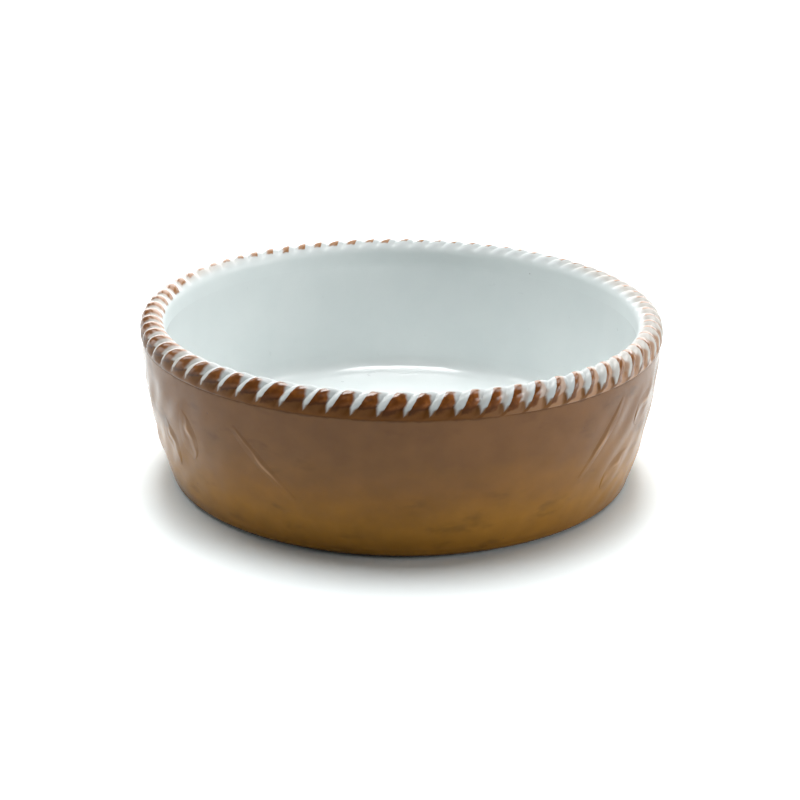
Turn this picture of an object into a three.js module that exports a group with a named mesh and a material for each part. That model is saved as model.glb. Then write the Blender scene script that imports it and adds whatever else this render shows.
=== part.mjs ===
// Round baking dish of glazed ceramic. A floor on a low foot ring carries a flared wall with a coil
// pressed into the inside corner, a rope-twist roll forms the rim, and stalks and leaves in low
// relief lie on the outside.
// Millimetres, +Z up, origin on the table under the middle of the dish.
import * as THREE from "three";

// Whole dish
const DISH_RADIUS = 100; // middle to the outermost reach of the rope rim
const DISH_HEIGHT = 65; // table to the top of the rope rim
const SLIP_JOINT = 0.3; // layer of slip between two pieces luted together
const ROUND_FLATS = 72; // flats round each turned piece

// Rope rim
const ROPE_WIDTH = 9.4;
const ROPE_HEIGHT = 9.8;
const ROPE_BELLY_HEIGHT = 4.4; // seat of the rope to its widest part
const ROPE_LOBES = 76; // strands that cross the top, counted round the rim
const LOBES_PER_TURN = 2; // lobes that a strand passes in one turn round the rope
const GROOVE_DEPTH = 1;
const OUTER_SQUARENESS = 0.6; // 1 is an ellipse, smaller runs squarer into the seat
const INNER_SQUARENESS = 0.3;
const ROPE_SIDES = 12;
const STEPS_PER_LOBE = 4;
// Bearings round the rope's section, in degrees: 0 outermost, 90 at the top, 180 innermost
const GROOVE_LOW_END = -75; // grooves begin to cut in here, under the outer side
const GROOVE_LOW_FULL = -25;
const GROOVE_INNER_FULL = 135;
const GROOVE_INNER_END = 200; // grooves have run out here, on the inner side

// Side wall
const BASE_RADIUS = 90; // outside of the wall just above its rounded lower edge
const ROPE_OVERHANG = 0.7; // rope beyond the top of the wall
const OUTSIDE_BELLY = 2.15; // swell of the outside beyond a straight flare
const INSIDE_BELLY = 1.4;
const WALL_THICKNESS = 5; // between BASE_RADIUS and the inside at floor level
const LOWER_EDGE_RADIUS = 2.2;
const TABLE_CLEARANCE = 0.8; // glazed lower edge of the wall above the table
const WALL_STEPS = 6;
const EDGE_STEPS = 2;

// Coil in the inside corner
const COIL_REACH = 7; // along the floor and up the wall from the corner between them
const COIL_EDGE = 0.5; // thickness left where the coil is smeared out
const COIL_STEPS = 4;

// Floor and foot ring
const FLOOR_THICKNESS = 6;
const FOOT_HEIGHT = 2.5;
const FOOT_WIDTH = 12;
const FOOT_SETBACK = 0.7; // edge of the floor beyond the foot ring
const FOOT_EDGE_RADIUS = 0.8;

// Relief on the outside
const STALK_LENGTH = 34;
const STALK_WIDTH = 2.8;
const STALK_RELIEF = 0.9;
const STALK_END_WIDTH = 0.55; // share of its width left at each end
const LEAF_LENGTH = 19;
const LEAF_WIDTH = 9.5;
const LEAF_RELIEF = 1.2;
const LEAF_BROADEST = 0.42; // share of its length, from the base
const LEAF_FULLNESS = 0.8; // 1 is a sine curve, smaller makes the outline blunter
const CROWN_FULLNESS = 0.5; // the same for the height of the relief along its length
const RELIEF_EDGE = 0.3; // thickness left along the outline
const RELIEF_TIP = 0.9; // width left at a pointed end
const RELIEF_MARGIN = 1.5; // bare wall above and below the relief
const ACROSS_STEPS = 4;
const STALK_STEPS = 8;
const LEAF_STEPS = 7;

// Bearing of the middle seen from above, in degrees from +X; rise from the lowest place on the
// wall (0) to the highest (1); lean of the length, in degrees from level
const RELIEF_PLAN = [
  { name: "stalk_right", outline: "stalk", bearing: -42.5, rise: 0.93, lean: 52 },
  { name: "leaf_right_upper", outline: "leaf", bearing: -25, rise: 0.93, lean: 30 },
  { name: "leaf_right_lower", outline: "leaf", bearing: -35, rise: 0.21, lean: 40 },
  { name: "stalk_left", outline: "stalk", bearing: -119.5, rise: 0.72, lean: 134 },
  { name: "leaf_left_upper", outline: "leaf", bearing: -141.5, rise: 0.72, lean: 104 },
  { name: "leaf_left_lower", outline: "leaf", bearing: -150, rise: 0.45, lean: 112 },
];
// The same group is repeated half a turn on, at the back
const RELIEF_SIDES = [
  { side: "front", turn: 0 },
  { side: "back", turn: 180 },
];

// Heights and radii that follow
const { lerp, smoothstep, degToRad } = THREE.MathUtils;
const FULL_TURN = 2 * Math.PI;
const ropeSeat = DISH_HEIGHT - ROPE_HEIGHT;
const ropeInside = DISH_RADIUS - ROPE_WIDTH;
const wallTop = ropeSeat - SLIP_JOINT;
const wallTopRadius = DISH_RADIUS - ROPE_OVERHANG;
const lowerEdgeTop = TABLE_CLEARANCE + LOWER_EDGE_RADIUS;
const floorUnderside = FOOT_HEIGHT + SLIP_JOINT;
const floorTop = floorUnderside + FLOOR_THICKNESS;
const insideBase = BASE_RADIUS - WALL_THICKNESS;
const floorRadius = insideBase - SLIP_JOINT;
const footOuter = floorRadius - FOOT_SETBACK;
const footInner = footOuter - FOOT_WIDTH;
const leafSkew = Math.log(0.5) / Math.log(LEAF_BROADEST);

const whiteGlaze = { color: 0xe4e9e9, roughness: 0.2, metalness: 0 };
const brownGlaze = { color: 0x6b4e35, roughness: 0.25, metalness: 0 };
const ropeGlaze = { color: 0x8a5b35, roughness: 0.2, metalness: 0 };
const bareClay = { color: 0xd9cdb8, roughness: 0.85, metalness: 0 };

function piece(name, geometry, finish) {
  const mesh = new THREE.Mesh(geometry, new THREE.MeshStandardMaterial(finish));
  mesh.name = name;
  return mesh;
}

// Straight flare from base to top with a swell that is greatest half way up
function swelledFlare(share, base, top, belly) {
  return lerp(base, top, share) + belly * 4 * share * (1 - share);
}

function wallOutside(height) {
  const share = (height - lowerEdgeTop) / (wallTop - lowerEdgeTop);
  return swelledFlare(share, BASE_RADIUS, wallTopRadius, OUTSIDE_BELLY);
}

function wallInside(height) {
  const share = (height - floorTop) / (wallTop - floorTop);
  return swelledFlare(share, insideBase, ropeInside, INSIDE_BELLY);
}

// Points of an arc in the plane of radius and height, bearings in degrees
function arc(radius, height, size, from, to, steps) {
  const points = [];
  for (let step = 0; step <= steps; step++) {
    const bearing = degToRad(lerp(from, to, step / steps));
    points.push([radius + size * Math.cos(bearing), height + size * Math.sin(bearing)]);
  }
  return points;
}

// Points of a wall face between two heights
function face(radiusAt, from, to, steps) {
  const points = [];
  for (let step = 0; step <= steps; step++) {
    const height = lerp(from, to, step / steps);
    points.push([radiusAt(height), height]);
  }
  return points;
}

// Turned piece: a profile of [radius, height] points, anticlockwise, revolved about +Z
function turned(profile) {
  const points = profile.map(([radius, height]) => new THREE.Vector2(radius, height));
  const geometry = new THREE.LatheGeometry(points, ROUND_FLATS);
  geometry.rotateX(Math.PI / 2);
  return geometry;
}

function closedProfile(points) {
  return [...points, points[0]];
}

function footRing() {
  const edge = Math.min(FOOT_EDGE_RADIUS, FOOT_HEIGHT / 2, FOOT_WIDTH / 4);
  return turned(closedProfile([
    ...arc(footInner + edge, edge, edge, 180, 270, EDGE_STEPS),
    ...arc(footOuter - edge, edge, edge, 270, 360, EDGE_STEPS),
    [footOuter, FOOT_HEIGHT],
    [footInner, FOOT_HEIGHT],
  ]));
}

function floorDisc() {
  return turned([
    [0, floorUnderside],
    [floorRadius, floorUnderside],
    [floorRadius, floorTop],
    [0, floorTop],
  ]);
}

// The wall stands round the edge of the floor
function sideWall() {
  const edgeCentre = BASE_RADIUS - LOWER_EDGE_RADIUS;
  return turned(closedProfile([
    [insideBase, TABLE_CLEARANCE],
    ...arc(edgeCentre, lowerEdgeTop, LOWER_EDGE_RADIUS, 270, 360, EDGE_STEPS).slice(0, -1),
    ...face(wallOutside, lowerEdgeTop, wallTop, WALL_STEPS),
    ...face(wallInside, wallTop, floorTop, WALL_STEPS),
  ]));
}

// The coil fills the corner between the wall and the floor. Its face is a hollow curve that leaves
// the floor level and runs into the slope of the wall.
function cornerCoil() {
  const coilFoot = floorTop + SLIP_JOINT;
  const coilTop = floorTop + COIL_REACH;
  const cornerRadius = wallInside(coilFoot) - SLIP_JOINT;
  const topRadius = wallInside(coilTop) - SLIP_JOINT;
  const coilStart = cornerRadius - COIL_REACH;
  const hollow = new THREE.QuadraticBezierCurve(
    new THREE.Vector2(topRadius - COIL_EDGE, coilTop),
    new THREE.Vector2(cornerRadius - COIL_EDGE, coilFoot + COIL_EDGE),
    new THREE.Vector2(coilStart, coilFoot + COIL_EDGE),
  );
  return turned(closedProfile([
    [coilStart, coilFoot],
    [cornerRadius, coilFoot],
    [topRadius, coilTop],
    ...hollow.getPoints(COIL_STEPS).map((point) => point.toArray()),
  ]));
}

// Share of the groove's depth at a bearing round the rope: full over the outside and the top,
// nothing on the seat and where the inside runs down flush with the wall
function grooveShare(bearing) {
  if (bearing > GROOVE_INNER_END) {
    return smoothstep(bearing - 360, GROOVE_LOW_END, GROOVE_LOW_FULL);
  }
  return 1 - smoothstep(bearing, GROOVE_INNER_FULL, GROOVE_INNER_END);
}

// Radius and height of the rope's skin. The upper half is an ellipse, the lower quarters run
// squarer into the seat, and each groove cuts in towards the middle of the section.
function ropeSkin(turn, lobePhase) {
  const bearing = FULL_TURN * turn;
  const across = Math.cos(bearing);
  const up = Math.sin(bearing);
  const halfWidth = ROPE_WIDTH / 2;
  const middle = new THREE.Vector2(DISH_RADIUS - halfWidth, ropeSeat + ROPE_BELLY_HEIGHT);
  const skin = new THREE.Vector2(halfWidth * across, (ROPE_HEIGHT - ROPE_BELLY_HEIGHT) * up);
  if (up < 0) {
    const squareness = across > 0 ? OUTER_SQUARENESS : INNER_SQUARENESS;
    skin.x = halfWidth * Math.sign(across) * Math.abs(across) ** squareness;
    skin.y = -ROPE_BELLY_HEIGHT * Math.abs(up) ** squareness;
  }
  const groove = 1 - Math.sin(Math.PI * lobePhase);
  const depth = GROOVE_DEPTH * groove * grooveShare(360 * turn);
  return skin.setLength(skin.length() - depth).add(middle);
}

// One closed skin whose lines follow the strands: each side of the section is turned a little
// further round the dish, and the last side joins the first some lobes on
function ropeRim() {
  const ringSteps = ROPE_LOBES * STEPS_PER_LOBE;
  const points = [];
  const triangles = [];
  for (let side = 0; side < ROPE_SIDES; side++) {
    const turn = side / ROPE_SIDES;
    for (let step = 0; step < ringSteps; step++) {
      const lobe = step / STEPS_PER_LOBE;
      const bearing = FULL_TURN * (lobe + LOBES_PER_TURN * turn) / ROPE_LOBES;
      const skin = ropeSkin(turn, lobe % 1);
      points.push(skin.x * Math.cos(bearing), skin.x * Math.sin(bearing), skin.y);
    }
  }
  const corner = (side, step) => {
    const joined = side === ROPE_SIDES ? step + LOBES_PER_TURN * STEPS_PER_LOBE : step;
    return (side % ROPE_SIDES) * ringSteps + joined % ringSteps;
  };
  for (let side = 0; side < ROPE_SIDES; side++) {
    for (let step = 0; step < ringSteps; step++) {
      const here = corner(side, step);
      const beyond = corner(side + 1, step + 1);
      triangles.push(here, corner(side, step + 1), beyond);
      triangles.push(here, beyond, corner(side + 1, step));
    }
  }
  return skinGeometry(points, triangles);
}

function skinGeometry(points, triangles) {
  const geometry = new THREE.BufferGeometry();
  geometry.setAttribute("position", new THREE.Float32BufferAttribute(points, 3));
  geometry.setIndex(triangles);
  geometry.computeVertexNormals();
  return geometry;
}

// Half width and height of each kind of relief along its length, both as shares from 0 to 1
const RELIEF_KINDS = {
  stalk: {
    length: STALK_LENGTH,
    width: STALK_WIDTH,
    relief: STALK_RELIEF,
    steps: STALK_STEPS,
    outline: (along) => lerp(STALK_END_WIDTH, 1, Math.sin(Math.PI * along)),
    crown: (along) => Math.sin(Math.PI * along) ** CROWN_FULLNESS,
  },
  leaf: {
    length: LEAF_LENGTH,
    width: LEAF_WIDTH,
    relief: LEAF_RELIEF,
    steps: LEAF_STEPS,
    outline: (along) => Math.sin(Math.PI * along ** leafSkew) ** LEAF_FULLNESS,
    crown: (along) => Math.sin(Math.PI * along ** leafSkew) ** CROWN_FULLNESS,
  },
};

// A pad that lies on the wall: the outer face is crowned, the inner face follows the wall
function reliefPad(plan, turn) {
  const kind = RELIEF_KINDS[plan.outline];
  const lean = degToRad(plan.lean);
  const reach = (kind.length * Math.abs(Math.sin(lean)) + kind.width * Math.abs(Math.cos(lean))) / 2;
  const lowest = lowerEdgeTop + RELIEF_MARGIN + reach;
  const highest = wallTop - RELIEF_MARGIN - reach;
  const middleHeight = lerp(lowest, highest, plan.rise);
  const middleRadius = wallOutside(middleHeight);
  const points = [];
  const triangles = [];

  const addFace = (liftAt) => {
    for (let row = 0; row <= kind.steps; row++) {
      const along = row / kind.steps;
      const halfWidth = Math.max(kind.width * kind.outline(along), RELIEF_TIP) / 2;
      for (let column = 0; column <= ACROSS_STEPS; column++) {
        const across = 2 * column / ACROSS_STEPS - 1;
        const length = (along - 0.5) * kind.length;
        const width = across * halfWidth;
        const level = length * Math.cos(lean) - width * Math.sin(lean);
        const height = middleHeight + length * Math.sin(lean) + width * Math.cos(lean);
        const bearing = degToRad(plan.bearing + turn) + level / middleRadius;
        const radius = wallOutside(height) + SLIP_JOINT + liftAt(along, across);
        points.push(radius * Math.cos(bearing), radius * Math.sin(bearing), height);
      }
    }
  };
  addFace((along, across) => RELIEF_EDGE + kind.relief * kind.crown(along) * (1 - across ** 2));
  addFace(() => 0);

  const perRow = ACROSS_STEPS + 1;
  const inner = perRow * (kind.steps + 1);
  const quad = (a, b, c, d) => triangles.push(a, b, c, a, c, d);
  for (let row = 0; row < kind.steps; row++) {
    for (let column = 0; column < ACROSS_STEPS; column++) {
      const a = row * perRow + column;
      quad(a, a + perRow, a + perRow + 1, a + 1);
      quad(inner + a, inner + a + 1, inner + a + perRow + 1, inner + a + perRow);
    }
  }
  const wallOff = (a, b) => quad(a, b, inner + b, inner + a);
  for (let row = 0; row < kind.steps; row++) {
    const right = row * perRow;
    const left = right + ACROSS_STEPS;
    wallOff(right + perRow, right);
    wallOff(left, left + perRow);
  }
  for (let column = 0; column < ACROSS_STEPS; column++) {
    const far = kind.steps * perRow + column;
    wallOff(column, column + 1);
    wallOff(far + 1, far);
  }
  return skinGeometry(points, triangles);
}

const dish = new THREE.Group();
dish.add(piece("foot_ring", footRing(), bareClay));
dish.add(piece("floor", floorDisc(), whiteGlaze));
dish.add(piece("side_wall", sideWall(), brownGlaze));
dish.add(piece("corner_coil", cornerCoil(), whiteGlaze));
dish.add(piece("rope_rim", ropeRim(), ropeGlaze));
for (const { side, turn } of RELIEF_SIDES) {
  for (const plan of RELIEF_PLAN) {
    dish.add(piece(`${side}_${plan.name}`, reliefPad(plan, turn), brownGlaze));
  }
}

export default dish;
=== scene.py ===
import bpy
import numpy as np
from mathutils import Matrix, Vector


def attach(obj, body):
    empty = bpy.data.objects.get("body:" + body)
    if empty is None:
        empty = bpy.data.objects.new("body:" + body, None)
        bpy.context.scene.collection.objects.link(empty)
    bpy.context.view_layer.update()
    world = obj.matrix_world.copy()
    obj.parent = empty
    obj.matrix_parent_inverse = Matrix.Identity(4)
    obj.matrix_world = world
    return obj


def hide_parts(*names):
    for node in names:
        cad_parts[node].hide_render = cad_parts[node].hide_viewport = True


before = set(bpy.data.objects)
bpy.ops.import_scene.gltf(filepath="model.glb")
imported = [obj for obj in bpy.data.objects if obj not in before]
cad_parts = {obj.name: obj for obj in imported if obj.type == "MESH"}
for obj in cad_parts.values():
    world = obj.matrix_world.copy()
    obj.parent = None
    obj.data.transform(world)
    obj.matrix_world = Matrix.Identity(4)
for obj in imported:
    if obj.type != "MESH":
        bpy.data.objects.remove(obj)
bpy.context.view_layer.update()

# Foot ring
# The low ring that the dish stands on, turned in buff stoneware and luted under the floor.
# It is wiped bare of glaze, so that the dish doesn't stick to the kiln shelf.
mm = 0.001
joint = 0.3
foot_inner, foot_outer, foot_height, foot_edge = 72.0, 84.0, 2.5, 0.8
foot_side_start = 0.2
foot_rounds = 288
crease = np.radians(50)
clay_dark = (0.62, 0.53, 0.40, 1)
clay_pale = (0.72, 0.64, 0.51, 1)
clay_grit = (0.22, 0.15, 0.10, 1)


def bend(middle, size, start, end, steps):
    """Points of an arc in the plane of radius and height: the middle plus the size times the cosine
    and sine of bearings that run evenly from start to end, in degrees."""
    bearing = np.radians(np.linspace(start, end, steps))
    return np.stack((middle[0] + size * np.cos(bearing), middle[1] + size * np.sin(bearing)), 1)


def run(start, end, steps):
    """Points evenly along a straight line from start to end, without the end itself."""
    return np.linspace(start, end, steps, endpoint=False)


def revolve(profile, steps, swell=None):
    """Grid of points [round, along, xyz]: each (radius, height) row of the profile is carried round +Z,
    and swell(bearing, height), in millimetres, is added to the radius."""
    bearing = np.linspace(0, 2 * np.pi, steps, endpoint=False)[:, None]
    radius, height = profile[None, :, 0], profile[None, :, 1]
    if swell is not None:
        radius = radius + swell(bearing, height)
    across = np.ones_like(bearing)
    return np.stack((radius * np.cos(bearing), radius * np.sin(bearing), height * across), 2)


def skin(name, points, lay=0, ends=None):
    """Mesh of a grid of points [round, along, xyz] in millimetres. Its rows close on themselves. Its
    columns close too, lay rows further on, or else each side of the grid closes on one of two ends."""
    rows, columns = points.shape[:2]
    index = np.arange(rows * columns).reshape(rows, columns)
    if ends is None:
        index = np.concatenate((index, np.roll(index[:, :1], -lay, axis=0)), 1)
    beyond = np.roll(index, -1, axis=0)
    quads = np.stack((index[:, :-1], beyond[:, :-1], beyond[:, 1:], index[:, 1:]), 2).reshape(-1, 4)
    vertices, faces = points.reshape(-1, 3), quads.tolist()
    if ends is not None:
        first, last = rows * columns, rows * columns + 1
        vertices = np.concatenate((vertices, np.array(ends, float)))
        fan = np.stack((np.full(rows, first), beyond[:, 0], index[:, 0]), 1)
        faces += fan.tolist()
        fan = np.stack((np.full(rows, last), index[:, -1], beyond[:, -1]), 1)
        faces += fan.tolist()
    mesh = bpy.data.meshes.new(name)
    mesh.from_pydata((vertices * mm).tolist(), [], faces)
    mesh.update()
    mesh.shade_smooth()
    piece = bpy.data.objects.new(name, mesh)
    bpy.context.scene.collection.objects.link(piece)
    return piece


class Channel:
    """One socket in a material. Arithmetic on it adds Math nodes, and node() adds any other node."""

    def __init__(self, tree, socket=None):
        self.tree = tree
        self.socket = socket

    def node(self, kind, settings, sockets, output=0):
        """Adds a node: its settings first, a ramp's stops among them, then its sockets' values or links."""
        made = self.tree.nodes.new(kind)
        for name, value in settings.items():
            if name == "stops":
                ramp = made.color_ramp.elements
                for _ in value[2:]:
                    ramp.new(0.5)
                for stop, (place, colour) in zip(ramp, value):
                    stop.position, stop.color = place, (*colour, 1)
            else:
                setattr(made, name, value)
        for name, value in sockets.items():
            if isinstance(value, Channel):
                self.tree.links.new(value.socket, made.inputs[name])
            else:
                made.inputs[name].default_value = value
        return Channel(self.tree, made.outputs[output])

    def math(self, operation, *values):
        """Adds a Math node that does the operation on the values."""
        return self.node("ShaderNodeMath", {"operation": operation}, dict(enumerate(values)))

    def __add__(self, other):
        return self.math("ADD", self, other)

    __radd__ = __add__

    def __sub__(self, other):
        return self.math("SUBTRACT", self, other)

    def __rsub__(self, other):
        return self.math("SUBTRACT", other, self)

    def __mul__(self, other):
        return self.math("MULTIPLY", self, other)

    __rmul__ = __mul__


def rise(value, start, end):
    """Eases from 0 where value is at start to 1 where it is at end, and back where start is above end."""
    sockets = {"Value": value, 1: start, 2: end}
    return value.node("ShaderNodeMapRange", {"interpolation_type": "SMOOTHSTEP"}, sockets)


def blend(share, under, over):
    """Colour under where share is 0 and over where it is 1."""
    return share.node("ShaderNodeMix", {"data_type": "RGBA"}, {0: share, 6: under, 7: over}, 2)


def tint(colour, share):
    """Colour times a value."""
    grey = share.node("ShaderNodeCombineColor", {}, {0: share, 1: share, 2: share})
    settings = {"data_type": "RGBA", "blend_type": "MULTIPLY"}
    return share.node("ShaderNodeMix", settings, {0: 1.0, 6: colour, 7: grey}, 2)


def material(name):
    """New material, with the place on the piece in millimetres as a channel, and its shader node."""
    made = bpy.data.materials.new(name)
    made.use_nodes = True
    tree = Channel(made.node_tree)
    place = tree.node("ShaderNodeTexCoord", {}, {}, "Object")
    place = tree.node("ShaderNodeVectorMath", {"operation": "SCALE"}, {0: place, "Scale": 1 / mm})
    return made, place, made.node_tree.nodes["Principled BSDF"]


def mottle(place, size, detail=3.0, stretch=(1, 1, 1)):
    """Soft cloudy value about 0.5, with clouds of that size in millimetres, stretched along the axes."""
    scale = [1 / (size * part) for part in stretch]
    place = place.node("ShaderNodeVectorMath", {"operation": "MULTIPLY"}, {0: place, 1: scale})
    return place.node("ShaderNodeTexNoise", {}, {"Vector": place, "Scale": 1.0, "Detail": detail})


def specks(place, spacing, size):
    """1 in round spots of that size, in millimetres, scattered with that spacing, and 0 between them."""
    sockets = {"Vector": place, "Scale": 1 / spacing}
    far = place.node("ShaderNodeTexVoronoi", {}, sockets)
    return rise(far * spacing, size, size * 0.5)


def apply(shader, **inputs):
    """Sets or links the shader's inputs, whose names have _ for a space."""
    for name, value in inputs.items():
        socket = shader.inputs[name.replace("_", " ").title().replace("Ior", "IOR")]
        if isinstance(value, Channel):
            value.tree.links.new(value.socket, socket)
        else:
            socket.default_value = value


def raised(height, strength, distance):
    """Normal that makes a value between 0 and 1 stand that far out of the surface, in millimetres."""
    sockets = {"Height": height, "Strength": strength, "Distance": distance * mm}
    return height.node("ShaderNodeBump", {}, sockets)


bare_clay, place, shader = material("bare_clay")
grain = mottle(place, size=0.7, detail=4.0)
stain = mottle(place, size=14.0)
grit = specks(place, spacing=2.6, size=0.35)
clay = blend(rise(stain, 0.35, 0.7), clay_dark, clay_pale)
clay = blend(grit * 0.7, clay, clay_grit)
apply(shader, base_color=tint(clay, 0.8 + 0.35 * grain), roughness=0.75 + 0.2 * grain)
apply(shader, normal=raised(grain - 0.4 * grit, strength=0.5, distance=0.12))

foot_top = foot_height + joint
foot_profile = np.concatenate((
    bend((foot_inner + foot_edge, foot_edge), foot_edge, 180, 270, 6),
    bend((foot_outer - foot_edge, foot_edge), foot_edge, 270, 360, 6),
    run((foot_outer, foot_edge + foot_side_start), (foot_outer, foot_top), 4),
    run((foot_outer, foot_top), (foot_inner, foot_top), 6),
    run((foot_inner, foot_top), (foot_inner, foot_edge), 4),
))
foot_ring = skin("foot_ring_clay", revolve(foot_profile, foot_rounds))
foot_ring.data.set_sharp_from_angle(angle=crease)
foot_ring.data.materials.append(bare_clay)
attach(foot_ring, "root")
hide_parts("foot_ring")

# Floor
# A flat disc of stoneware under a glossy, slightly bluish white glaze, inside the wall.
# The glaze runs over it and up the wall in one coat, so its edge doesn't show.
floor_low, floor_top, floor_radius, floor_hub = 2.8, 8.8, 84.7, 1.5
floor_rounds = 192
glaze_white = (0.755, 0.80, 0.795, 1)
glaze_thick = (0.69, 0.745, 0.745, 1)
glaze_iron = (0.20, 0.15, 0.12, 1)


def coordinate(place, axis):
    """How far a place is along X, Y or Z, in millimetres."""
    return place.node("ShaderNodeSeparateXYZ", {}, {0: place}, axis)


def white_coat(place):
    """Colour and unevenness of the white glaze: pale clouds, a little bluer where it lies thick, with
    painted light low in the corner and painted shade higher up the wall, and a few iron specks from the
    clay below it."""
    cloud = mottle(place, size=22.0)
    colour = blend(rise(cloud, 0.3, 0.75) * 0.5, glaze_white, glaze_thick)
    level = coordinate(place, "Z")
    painted_light_in_corner, painted_shade_up_wall = rise(level, 9, 14), rise(level, 18, 56)
    # Painted light and shade by height: the white is tinted lighter in the corner by the floor and darker
    # higher up the wall.
    colour = tint(colour, 0.89 + 0.08 * painted_light_in_corner - 0.10 * painted_shade_up_wall)
    iron = specks(place, spacing=17.0, size=0.32)
    colour = blend(iron * 0.8, colour, glaze_iron)
    peel = mottle(place, size=3.2, detail=1.0) + 0.4 * mottle(place, size=9.0, detail=1.0)
    return colour, peel


white_glaze, place, shader = material("white_glaze")
white, peel = white_coat(place)
apply(shader, base_color=white, roughness=0.24 + 0.12 * mottle(place, size=6.0))
apply(shader, coat_weight=0.7, coat_roughness=0.05, specular_ior_level=0.3)
apply(shader, normal=raised(peel, strength=0.25, distance=0.06))

floor_profile = np.concatenate((
    run((floor_hub, floor_low), (floor_radius, floor_low), 24),
    run((floor_radius, floor_low), (floor_radius, floor_top), 3),
    np.linspace((floor_radius, floor_top), (floor_hub, floor_top), 24),
))
floor_ends = ((0, 0, floor_low), (0, 0, floor_top))
floor_disc = skin("floor_disc", revolve(floor_profile, floor_rounds), ends=floor_ends)
floor_disc.data.set_sharp_from_angle(angle=crease)
floor_disc.data.materials.append(white_glaze)
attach(floor_disc, "root")
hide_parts("floor")

# Corner coil
# A roll of clay pressed into the corner between the floor and the wall and smoothed to a hollow
# curve, under the same white glaze. It sinks a little into both, so that no joint shows.
base_radius, top_radius, wall_top, lower_edge = 90.0, 99.3, 54.9, 3.0
inside_base, inside_top = 85.0, 90.6
outside_belly, inside_belly = 2.15, 1.4
coil_reach, coil_sink = 7.0, 0.25
coil_rounds = 256


def flare(height, low, high, radius_low, radius_high, belly):
    """Radius of a wall face: a straight flare from the low to the high radius, with a swell that is
    greatest half way up."""
    share = (height - low) / (high - low)
    return radius_low + (radius_high - radius_low) * share + 4 * belly * share * (1 - share)


def wall_outside(height):
    """Radius of the wall's outer face: the flare from its lower edge to its top."""
    return flare(height, lower_edge, wall_top, base_radius, top_radius, outside_belly)


def wall_inside(height):
    """Radius of the wall's inner face: the flare from the floor to its top."""
    return flare(height, floor_top, wall_top, inside_base, inside_top, inside_belly)


def hollow(start, corner, end, steps):
    """Curve from start to end that leaves and meets the two lines through the corner, without its end."""
    share = np.linspace(0, 1, steps, endpoint=False)[:, None]
    start, corner, end = np.array(start), np.array(corner), np.array(end)
    return start * (1 - share) ** 2 + corner * 2 * share * (1 - share) + end * share ** 2


coil_low, coil_top = floor_top - coil_sink, floor_top + coil_reach
coil_start = (inside_base - coil_reach, floor_top)
coil_end = (wall_inside(coil_top), coil_top)
coil_corner = (inside_base + coil_sink, coil_low)
coil_back = (coil_end[0] + coil_sink, coil_top)
coil_profile = np.concatenate((
    run((coil_start[0], coil_low), coil_corner, 6),
    run(coil_corner, coil_back, 6),
    run(coil_back, coil_end, 2),
    hollow(coil_end, (inside_base, floor_top), coil_start, 20),
    [coil_start],
))
corner_coil = skin("corner_coil", revolve(coil_profile, coil_rounds))
corner_coil.data.set_sharp_from_angle(angle=crease)
corner_coil.data.materials.append(white_glaze)
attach(corner_coil, "root")
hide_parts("corner_coil")

# Side wall
# The flared wall round the floor, a little uneven from the hand. Outside it has a translucent brown wash,
# ochre towards the foot, darker in a ragged band under the rope, with painted contact shade along its lower
# edge. Inside it is white.
edge_radius, edge_low = 2.2, 0.8
seat, seat_edge, seat_bulge, seat_width = 1.9, 0.8, 0.05, 4.0
wall_rounds = 480
waver_fade = 8.0
wash_span, band_waver = 56.0, 14.0
wash_bands = (
    (0.0, (0.180, 0.081, 0.010)),
    (0.09, (0.255, 0.113, 0.012)),
    (0.24, (0.262, 0.116, 0.013)),
    (0.46, (0.205, 0.087, 0.0135)),
    (0.68, (0.162, 0.069, 0.017)),
    (1.0, (0.155, 0.065, 0.019)),
)
wash_pit = (0.09, 0.045, 0.02, 1)
wash_under_rope = (0.085, 0.032, 0.006, 1)
wash_shaded_at_foot = (0.05, 0.025, 0.008, 1)
wash_thin_highlight = (0.42, 0.24, 0.12, 1)
wash_pooled_shade = (0.10, 0.040, 0.012, 1)


def hand_waver(bearing, height, seed, counts, size, drift=0.12):
    """Sum of cosines round the dish, each with a whole number of waves so that it closes, and each
    drifting with the height by up to that many radians a millimetre. It stays near that size."""
    draw = np.random.default_rng(seed)
    total = 0
    for count in counts:
        slope, start = draw.uniform(-drift, drift), draw.uniform(0, 2 * np.pi)
        total = total + np.cos(count * bearing + slope * height + start)
    return total * size / np.sqrt(len(counts))


def wall_waver(bearing, height):
    """Unevenness of the outside: broad dents all round, and short ones where the relief was pressed on,
    none at the top and the lower edge."""
    broad = hand_waver(bearing, height, 3, (5, 8, 11, 17), 0.16)
    short = hand_waver(bearing, height, 5, (17, 23, 31, 41, 47), 0.34, drift=0.5)
    pressed = 0.12 + 0.88 * np.abs(np.cos(bearing)) ** 4
    from_edge = np.clip((height - lower_edge) / waver_fade, 0, 1)
    from_top = np.clip((wall_top - height) / waver_fade, 0, 1)
    return (broad + short * pressed) * from_edge * from_top


def carried(place, name):
    """Value of the mesh's own attribute of that name, 0 where it has none."""
    return place.node("ShaderNodeAttribute", {"attribute_name": name}, {}, "Fac")


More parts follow.
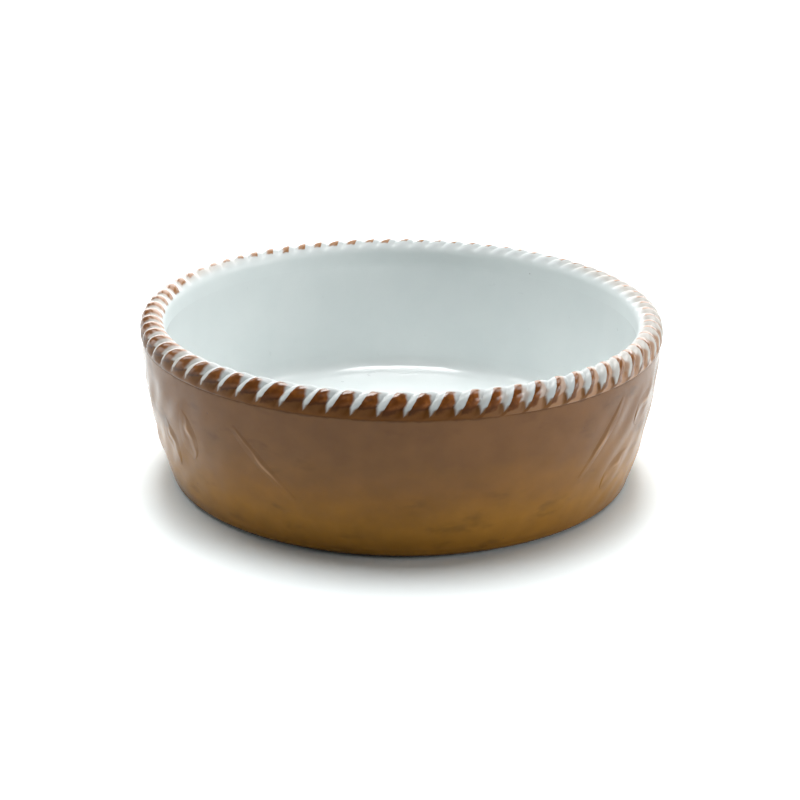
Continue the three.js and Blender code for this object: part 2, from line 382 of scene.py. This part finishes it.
def brown_wash(place):
    """Colour and unevenness of the brown wash: bands by height that waver, brushed clouds that lie along
    the wall, darker dabs, and small pits."""
    brushed = mottle(place, size=26.0, detail=4.0, stretch=(1, 1, 0.35))
    cloud = mottle(place, size=9.0, detail=4.0)
    level = coordinate(place, "Z") + band_waver * (brushed - 0.5)
    wash = place.node("ShaderNodeValToRGB", {"stops": wash_bands}, {0: level * (1 / wash_span)})
    wash = tint(wash, 0.72 + 0.40 * cloud)
    dab = rise(mottle(place, size=17.0, stretch=(1, 1, 0.45)), 0.56, 0.74)
    wash = blend(dab * 0.6, wash, tint(wash, 0.72 - 0.3 * cloud))
    pit = specks(place, spacing=12.0, size=0.55)
    wash = blend(pit * 0.6, wash, wash_pit)
    uneven = 0.6 * mottle(place, size=5.0, detail=2.0) + 0.9 * brushed - 0.5 * pit
    return wash, uneven


outside_heights = np.linspace(lower_edge, wall_top, 45)
inside_heights = np.linspace(wall_top, floor_low, 29)[1:]
edge_middle = (base_radius - edge_radius, lower_edge)
seat_middle = (top_radius - seat_edge, wall_top + seat - seat_edge)
outer_profile = np.concatenate((
    run((inside_base, edge_low), (edge_middle[0], edge_low), 4),
    bend(edge_middle, edge_radius, 270, 360, 10)[:-1],
    np.stack((wall_outside(outside_heights), outside_heights), 1),
    [(top_radius + seat_bulge, wall_top + seat / 2)],
    bend(seat_middle, seat_edge, 0, 90, 5),
))
inner_profile = np.concatenate((
    run((top_radius - seat_width, wall_top), (inside_top, wall_top), 4),
    [(inside_top, wall_top)],
    np.stack((wall_inside(np.maximum(inside_heights, floor_top)), inside_heights), 1),
))
wall_profile = np.concatenate((outer_profile, inner_profile))
lining = np.arange(len(wall_profile)) >= len(outer_profile)


def outer_waver(bearing, height):
    """The wall's waver on the outer part of its profile, and 0 on its lining."""
    return wall_waver(bearing, height) * ~lining[None, :]


side_wall = skin("side_wall", revolve(wall_profile, wall_rounds, outer_waver))
side_wall.data.set_sharp_from_angle(angle=crease)
slots = np.tile(lining, wall_rounds).astype(np.int32)
side_wall.data.polygons.foreach_set("material_index", slots)

wall_glaze, place, shader = material("wall_glaze")
wash, uneven = brown_wash(place)
height = coordinate(place, "Z")
# The wash is darkened in a ragged band just under the rope.
ragged = wall_top + seat - 1.4 + 2.4 * (mottle(place, size=5.0, detail=2.0) - 0.5)
wash = blend(rise(height - ragged, 0.0, 0.5) * 0.7, wash, wash_under_rope)
# Painted contact shade: the wash is darkened along the lower edge, next to the table.
wash = blend(rise(height, 2.2, 0.9) * 0.85, wash, wash_shaded_at_foot)
glaze = carried(place, "glaze")
# Painted highlight and shade: the wash is paler on the relief's crests, where it runs thin, and darker in
# the hollows beside them, where it pools.
wash = blend(rise(glaze, 0.1, 0.9) * 0.5, wash, wash_thin_highlight)
wash = blend(rise(glaze, -0.1, -0.9) * 0.5, wash, wash_pooled_shade)
apply(shader, base_color=wash, roughness=0.42 + 0.16 * mottle(place, size=7.0))
apply(shader, specular_ior_level=0.08, coat_weight=0.55, coat_ior=1.32, coat_roughness=0.1)
apply(shader, normal=raised(uneven, strength=0.35, distance=0.25))
side_wall.data.materials.append(wall_glaze)
side_wall.data.materials.append(white_glaze)
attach(side_wall, "root")
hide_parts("side_wall")

# Relief on the wall
# Stalks and leaves pressed on in soft clay, smoothed along their edges and covered by the brown wash, which
# runs thin on their crests and pools beside them; it is painted pale there as painted highlight and dark
# there as painted shade. The same group is at the front and half a turn on.
stalk_length, stalk_width, stalk_relief = 34.0, 5.0, 0.42
leaf_length, leaf_width, leaf_relief = 19.0, 12.5, 0.6
relief_margin, least_width = 1.5, 0.6
pad_sink, edge_sink, edge_lift, edge_share = 0.6, 0.06, 0.075, 0.12
along_steps, across_steps, end_gap = 65, 25, 0.002
# Name, kind, bearing in degrees, share of the free height, and lean in degrees
relief_plan = (
    ("stalk_right", "stalk", -42.5, 0.93, 52),
    ("leaf_right_upper", "leaf", -25.0, 0.93, 30),
    ("leaf_right_lower", "leaf", -35.0, 0.21, 40),
    ("stalk_left", "stalk", -119.5, 0.72, 134),
    ("leaf_left_upper", "leaf", -141.5, 0.72, 104),
    ("leaf_left_lower", "leaf", -150.0, 0.45, 112),
)


def bell(value, middle, width):
    """1 where value is at the middle, and falling off like a bell on both sides."""
    return np.exp(-((value - middle) / width) ** 2)


def fold(across, start, crest, end):
    """Height from 0 to 1 across a pressed fold: it eases up from the start to the crest and down to the
    end."""
    share = np.minimum((across - start) / (crest - start), (end - across) / (end - crest))
    share = np.clip(share, 0, 1)
    return share * share * (3 - 2 * share)


def stalk_form(along, across):
    """Half width, height from 0 to 1, and glaze of a stalk: a fold with a wavering, worn crest that tapers
    to both ends. The glaze is above 0 where it runs thin and is painted pale as a painted highlight, and
    below 0 where it pools and is painted dark as painted shade."""
    swell = np.sin(np.pi * along)
    middle = 0.1 + 0.12 * np.sin(8 * along + 1) + 0.06 * np.sin(21 * along)
    worn = 0.75 + 0.25 * np.sin(13 * along + 2)
    half_width = 0.55 + 0.45 * swell
    lift = worn * swell ** 0.7 * fold(across, -0.95, middle, 0.95)
    glaze = 0.85 * worn * bell(across, middle, 0.3) - 0.4 * bell(across, middle - 0.6, 0.3)
    return half_width, lift, glaze * swell ** 0.7


def leaf_form(along, across):
    """Half width, height from 0 to 1, and glaze of a leaf: a fold, broadest near its base and pointed at
    its tip, with a wavering ridge near one margin where the glaze is thin and is painted pale as a painted
    highlight, and a hollow where it pools and is painted dark as painted shade."""
    swell = np.sin(np.pi * along ** 0.8)
    ridge = 0.36 + 0.16 * np.sin(7 * along + 0.6) + 0.08 * np.sin(17 * along)
    worn = 0.7 + 0.3 * np.sin(11 * along + 1)
    half_width = swell ** 0.8
    hollow_side = 0.75 * bell(across, ridge - 0.42, 0.32) * swell
    lift = worn * swell * fold(across, -0.98, ridge, 1.0) * (1 - hollow_side)
    glaze = 0.8 * worn * bell(across, ridge, 0.24) - 0.4 * bell(across, ridge - 0.42, 0.3)
    return half_width, lift, glaze * swell


relief_kinds = {
    "stalk": (stalk_form, stalk_length, stalk_width, stalk_relief),
    "leaf": (leaf_form, leaf_length, leaf_width, leaf_relief),
}
along = np.linspace(end_gap, 1 - end_gap, along_steps)[None, :]
across = np.linspace(1, -1, across_steps)[:, None]
edge = np.clip((1 - np.abs(across)) / edge_share, 0, 1)
for side, turn in (("front", 0), ("back", 180)):
    for name, kind, bearing, share, lean in relief_plan:
        form, length, width, proud = relief_kinds[kind]
        lean = np.radians(lean)
        reach = (length * abs(np.sin(lean)) + width * abs(np.cos(lean))) / 2
        low, high = lower_edge + relief_margin + reach, wall_top - relief_margin - reach
        middle = low + (high - low) * share
        half_width, lift, glaze = form(along, across * np.sign(np.cos(lean)))
        step = (along - 0.5) * length * np.ones_like(across)
        offset = across * np.maximum(width * half_width, least_width) / 2
        level = step * np.cos(lean) - offset * np.sin(lean)
        height = middle + step * np.sin(lean) + offset * np.cos(lean)
        angle = np.radians(bearing + turn) + level / wall_outside(middle)
        ground = wall_outside(height) + wall_waver(angle, height)
        face = ground - edge_sink + edge_lift * edge + lift * proud
        radius = np.stack((face, ground - pad_sink))
        height = np.broadcast_to(height, radius.shape)
        grid = np.stack((radius * np.cos(angle), radius * np.sin(angle), height), 3)
        loop = np.concatenate((grid[0], grid[1, ::-1]))
        bottom, tip = loop[:, 0].mean(0), loop[:, -1].mean(0)
        pad = skin(f"{side}_{name}", loop, ends=(bottom, tip))
        pad.data.set_sharp_from_angle(angle=crease)
        coat = np.concatenate((glaze.ravel(), np.zeros(glaze.size + 2)))
        attribute = pad.data.attributes.new("glaze", "FLOAT", "POINT")
        attribute.data.foreach_set("value", coat.astype(np.float32))
        pad.data.materials.append(wall_glaze)
        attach(pad, "root")
        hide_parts(f"{side}_{name}")

# Rope rim
# A roll of clay impressed with a rope twist and set on the wall. Each strand is glazed white and
# takes one brush stroke of dark brown on the side past its crest; the wall's wash laps its underside.
rope_middle, rope_half_width, rope_rise, rope_fall = (95.3, 59.6), 4.7, 5.4, 4.7
rope_lobes, lobe_steps, lobes_per_turn, first_strand = 76, 24, 2, 0.43
groove_depth, lobe_crest, stripe_middle = 1.4, 0.40, 0.20
flank_start, flank_square, base_share = -86.0, 0.6, 0.3
crowding, crowded_from, crest_power = 0.07, 2.33, 1.1
rope_crease = np.radians(70)
paint_dark = (0.097, 0.029, 0.005, 1)
paint_thin = (0.255, 0.083, 0.017, 1)
paint_side_sheen = (0.22, 0.105, 0.045, 1)
paint_lit_on_top = (0.20, 0.089, 0.030, 1)
paint_shaded_low = (0.05, 0.013, 0.001, 1)
paint_trail = (0.31, 0.172, 0.095, 1)
white_beige_at_sides = (0.42, 0.35, 0.29, 1)
white_groove_shade = (0.42, 0.46, 0.46, 1)
lap_shaded_in_front = (0.095, 0.030, 0.003, 1)
lap_shaded_below = (0.075, 0.026, 0.005, 1)

# The section starts under the outside, climbs over the top and comes back along the seat.
flank_turn = run(flank_start, 0, 12)
flank = np.radians(flank_turn)
crown = np.radians(np.linspace(0, 180, 27))
flank_out = rope_half_width * np.cos(flank) ** flank_square
flank_down = -rope_fall * np.abs(np.sin(flank)) ** flank_square
section = np.concatenate((
    np.stack((flank_out, flank_down), 1),
    np.stack((rope_half_width * np.cos(crown), rope_rise * np.sin(crown)), 1),
    run((-rope_half_width, 0), (-rope_half_width, -rope_fall), 6)[1:],
    run((-rope_half_width, -rope_fall), (base_share * rope_half_width, -rope_fall), 4),
))
section_turn = np.unwrap(np.arctan2(section[:, 1], section[:, 0])) / (2 * np.pi)
section_turn[:len(flank_turn)] = flank_turn / 360


def ease(value, start, end):
    """Eases from 0 at start to 1 at end."""
    share = np.clip((value - start) / (end - start), 0, 1)
    return share * share * (3 - 2 * share)


def lay_of_rope(strand, turn):
    """Bearing round the dish of a place on a strand: strands are even, less a hand's waver, and each
    moves on by its share of the lay as it climbs round the section."""
    even = 2 * np.pi * (strand + first_strand + lobes_per_turn * turn) / rope_lobes
    crowded = crowding * np.sin(even + crowded_from)
    return even + crowded + hand_waver(even, 0, 11, (7, 13, 19), 0.0035)


# Between strands the skin is drawn in towards the middle of the section. The grooves fade out under the
# outside and down the inside.
row = np.arange(rope_lobes * lobe_steps)
strand = row[:, None] / lobe_steps
turn = section_turn[None, :]
bearing = lay_of_rope(strand, turn)
degrees = 360 * turn
crest_at = lobe_crest + (0.5 - lobe_crest) * ease(degrees, 40, 110)
crest = np.sin(np.pi * (strand % 1) ** (np.log(0.5) / np.log(crest_at))) ** crest_power
cut = ease(degrees, -34, 10) * (1 - 0.4 * ease(degrees, 60, 115) - 0.6 * ease(degrees, 108, 156))
uneven_cut = 1 + hand_waver(bearing, 0, 17, (9, 15, 22), 0.12)
depth = groove_depth * (1 - crest) * cut * uneven_cut
shrink = 1 - depth / np.hypot(section[:, 0], section[:, 1])[None, :]
radius = rope_middle[0] + section[None, :, 0] * shrink
height = rope_middle[1] + section[None, :, 1] * shrink
rope_points = np.stack((radius * np.cos(bearing), radius * np.sin(bearing), height), 2)
rope = skin("rope_rim", rope_points, lay=lobes_per_turn * lobe_steps)
rope.data.set_sharp_from_angle(angle=rope_crease)

# Each corner of a face carries its strand and its turn, so that the paint follows the strands.
corner_turn = np.append(section_turn, section_turn[0] + 1)
shape = (len(row), len(section), 4)
strand_at = np.stack((row, row + 1, row + 1, row), 1)[:, None, :] / lobe_steps
turn_at = np.stack((corner_turn[:-1], corner_turn[:-1], corner_turn[1:], corner_turn[1:]), 1)[None]
for name, values in (("strand", strand_at), ("turn", turn_at)):
    attribute = rope.data.attributes.new(name, "FLOAT", "CORNER")
    attribute.data.foreach_set("value", np.broadcast_to(values, shape).astype(np.float32).ravel())


def dice(number):
    """Random value from 0 to 1 that is the same all along the stroke of that number."""
    return number.node("ShaderNodeTexWhiteNoise", {"noise_dimensions": "1D"}, {"W": number})


def off_line(strand):
    """How far a place is from the nearest whole strand, from 0 to a half."""
    return strand.math("ABSOLUTE", strand.math("FRACT", strand + 0.5) - 0.5)


rope_glaze, place, shader = material("rope_glaze")
strand = carried(place, "strand")
degrees = 360 * carried(place, "turn")
sweep = place.math("FRACT", strand - stripe_middle)
number = place.math("FLOOR", strand - stripe_middle)
lot, other_lot = dice(number), dice(number + 200)
bristle = mottle(place, size=1.6) - 0.5
thick = mottle(place, size=2.4, detail=2.0)

# Parts of the way round the dish, where the brush was held differently, and where the painted sheen and
# painted shade change
across, behind = coordinate(place, "X"), coordinate(place, "Y")
off_middle = place.math("ABSOLUTE", across)
aside = rise(off_middle, 35, 90)
left_side = rise(across, -50, -92) * rise(behind, 50, 15)
right_side = rise(across, 15, 65)
inside_right_edge = rise(across, 95, 60)
far_right = rise(across, -30, 20) * rise(behind, -40, 30)
far_left = rise(across, -55, -82) * rise(behind, 22, 45)
near_side = rise(behind, -10, -70)

# Where a stroke begins and ends across its strand, and the thin trail past its end
begin = lobe_crest - stripe_middle - 0.05 + 0.06 * (lot - 0.5) + 0.06 * bristle
end = 0.86 - 0.12 * other_lot + 0.1 * bristle
end = end - 0.16 * aside * rise(behind, 45, 0) * inside_right_edge
end = end - (0.24 - 0.2 * left_side) * rise(degrees, 30, 80)
end = end - 0.1 * rise(across, 0, 35) * inside_right_edge
trail = rise(end + 0.2 - sweep, -0.12, 0.08) * rise(sweep - begin, 0.0, 0.1)
end = end - 0.22 * right_side * rise(degrees, 72, 44)
stroke = rise(sweep - begin, -0.012, 0.03) * rise(end - sweep, -0.10, 0.07)

# Where a stroke starts low on the outside and stops on top of the rope, in degrees of its section
lower_end = 18 * sweep - 9 - 16 * right_side + 14 * (other_lot - 0.5) + 16 * bristle
upper_end = 132 - (42 - 28 * right_side) * near_side - 23 * far_right - 24 * far_left
upper_end = upper_end + 22 * left_side - 8 * sweep + 12 * (lot - 0.5) + 12 * bristle
stroke = stroke * rise(degrees - lower_end, -6, 8)
stroke = stroke * rise(upper_end - degrees, -4, 8)
trail = trail * right_side * rise(upper_end - 20 - degrees, -20, 20)

# Paint of the strokes, thinner towards their ends, paler at the sides as painted sheen, lighter over the
# top as painted light, and darker low down as painted shade
thin = rise(sweep - begin, 0.25, 0.6) * 0.5 + rise(thick, 0.4, 0.75) * 0.5
# Painted shade: the strokes are darker low down on the outside, where they face away from the overhead
# light.
painted_shade_low = rise(degrees - lower_end, 30, 4) * (0.9 - 0.6 * right_side)
paint = blend(thin, paint_dark, paint_thin)
# Painted sheen: the paint is paler and greyer towards the left and right, in place of the side lights'
# reflection.
paint = blend(aside * 0.45, paint, paint_side_sheen)
# Painted light: the paint is lighter and oranger over the top of the rope, where it is thinner and where
# the overhead light falls.
paint = blend(rise(degrees, 65, 105), paint, paint_lit_on_top)
paint = blend(painted_shade_low, paint, paint_shaded_low)

# White ground, tinted darker over the top as painted shade, beige-grey at the sides, and greyer in the
# grooves as painted shade
white, peel = white_coat(place)
# Painted shade: the white is tinted darker over the outside and darkest over the top of the rope, where the
# overhead light is strongest, and back to the wall's white down the inside.
white = tint(white, 0.70 - 0.13 * rise(degrees, 45, 85) + 0.43 * rise(degrees, 100, 172))
# The white is tinted beige-grey towards the left and right, on the outside and top of the rope.
beige_at_sides = rise(aside, 0.4, 1.0) * rise(degrees, 150, 110)
white = blend(beige_at_sides * 0.45, white, white_beige_at_sides)
# Painted shade: the white is greyer and bluer in the grooves between the strands.
groove_painted_shade = rise(off_line(strand), 0.16, 0.0) * rise(degrees, 130, 70)
white = blend(groove_painted_shade * 0.15, white, white_groove_shade)

# The wall's wash, which laps up between the white stripes, painted darker at the front and on the rope's
# underside as painted shade
narrow = 0.35 * rise(degrees, -36, 32) - 0.11 + 0.04 * bristle
lapped = rise(off_line(strand - stripe_middle) - narrow, -0.12, 0.07)
lapped = lapped * rise(lower_end + 18 - degrees, -10, 6)
wash, _ = brown_wash(place)
wash = tint(wash, 1.1 - 0.35 * thick)
# Painted shade: the lapped wash is darker at the front, which gets little light, and on the rope's
# underside.
wash = blend(0.5 - 0.4 * rise(off_middle, 15, 65), wash, lap_shaded_in_front)
wash = blend(rise(degrees, -22, -48) * 0.75, wash, lap_shaded_below)

colour = blend(lapped, white, wash)
colour = blend(trail * 0.8, colour, paint_trail)
colour = blend(stroke, colour, paint)
gloss = rise(degrees, 20, 60) * (1 - 0.85 * rise(degrees, 76, 98))
gloss = 0.06 + 0.5 * aside + (0.94 - 0.5 * aside) * gloss
apply(shader, base_color=colour, roughness=0.3 + 0.12 * thick, specular_ior_level=0.05)
apply(shader, coat_weight=(0.35 + 0.5 * stroke) * gloss, coat_roughness=0.14)
apply(shader, normal=raised(peel + 0.5 * stroke, strength=0.3, distance=0.1))
rope.data.materials.append(rope_glaze)
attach(rope, "root")
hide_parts("rope_rim")

# Table
# A plain matt white table top under the dish. Far from the dish it is lit from within, so that it stays
# pale up to the horizon from every side.
table_reach, glow_start, glow_full = 9000.0, 700, 2200
table_white = (0.91, 0.97, 0.98, 1)
table_mesh = bpy.data.meshes.new("table")
corners = np.array(((-1, -1, 0), (1, -1, 0), (1, 1, 0), (-1, 1, 0))) * table_reach * mm
table_mesh.from_pydata(corners.tolist(), [], [(0, 1, 2, 3)])
table = bpy.data.objects.new("table", table_mesh)
bpy.context.scene.collection.objects.link(table)
table_top, place, shader = material("table_top")
far = place.node("ShaderNodeVectorMath", {"operation": "LENGTH"}, {0: place}, "Value")
glow = tint((1, 1, 1, 1), rise(far, glow_start, glow_full))
apply(shader, base_color=tint(table_white, 0.98 + 0.04 * mottle(place, size=60.0)), roughness=0.9)
apply(shader, emission_color=glow, emission_strength=1.0, specular_ior_level=0.0)
table_mesh.materials.append(table_top)

# Light
# Soft panels, all facing the dish: a bright one overhead, one behind and a low wide one as a backdrop,
# one on either side, two low ones of which the right is stronger, and a weak one in front.
panel_distance = 1.6
world_glow = 0.02


def softbox(name, tilt, bearing, wide, high, brightness):
    """Area light of that size in metres, facing the dish from the panels' distance, tilted from overhead
    towards a bearing: 0 is behind the dish, 90 to its right. Its power is pi times its area and
    brightness."""
    tilt, bearing = np.radians(tilt), np.radians(bearing)
    place = (np.sin(tilt) * np.sin(bearing), np.sin(tilt) * np.cos(bearing), np.cos(tilt))
    place = Vector(place) * panel_distance
    light = bpy.data.lights.new(name, "AREA")
    light.shape, light.size, light.size_y = "RECTANGLE", wide, high
    light.energy = np.pi * wide * high * brightness
    lamp = bpy.data.objects.new(name, light)
    lamp.location = place
    lamp.rotation_euler = (-place).to_track_quat("-Z", "Y").to_euler()
    bpy.context.scene.collection.objects.link(lamp)


softbox("overhead", 8, 0, 0.72, 0.92, 14.1)
softbox("behind", 43, 0, 0.9, 1.1, 4.4)
softbox("backdrop", 72, 0, 2.2, 0.8, 4.0)
softbox("left", 42, -62, 0.75, 0.75, 4.2)
softbox("right", 42, 62, 0.75, 0.75, 3.3)
softbox("low_left", 80, -85, 0.9, 0.6, 3.1)
softbox("low_right", 80, 98, 0.9, 0.6, 8.4)
softbox("front", 50, 180, 0.75, 0.75, 0.5)
world = bpy.data.worlds.new("studio")
world.use_nodes = True
world.node_tree.nodes["Background"].inputs["Color"].default_value = (1, 1, 1, 1)
world.node_tree.nodes["Background"].inputs["Strength"].default_value = world_glow
bpy.context.scene.world = world
bpy.context.scene.view_settings.view_transform = "Standard"

# Camera
# A long lens in front of the dish, looking down at it and rolled by half a degree, with its place and
# focal length fitted to the outline.
elevation, roll = np.radians(20.65), np.radians(0.60)
aim, distance = np.array((-0.3, 0.0, 26.2)) * mm, 706 * mm
focal_length, sensor = 81.0, 36.0
right, up = np.array((1.0, 0, 0)), np.array((0, np.sin(elevation), np.cos(elevation)))
back = np.array((0, -np.cos(elevation), np.sin(elevation)))
turned_right = right * np.cos(roll) + up * np.sin(roll)
turned_up = up * np.cos(roll) - right * np.sin(roll)
lens = bpy.data.cameras.new("camera")
lens.lens, lens.sensor_width = focal_length, sensor
camera = bpy.data.objects.new("camera", lens)
bpy.context.scene.collection.objects.link(camera)
rows = np.stack((turned_right, turned_up, back, aim + back * distance), 1).tolist()
camera.matrix_world = Matrix((*rows, (0, 0, 0, 1)))
bpy.context.scene.camera = camera
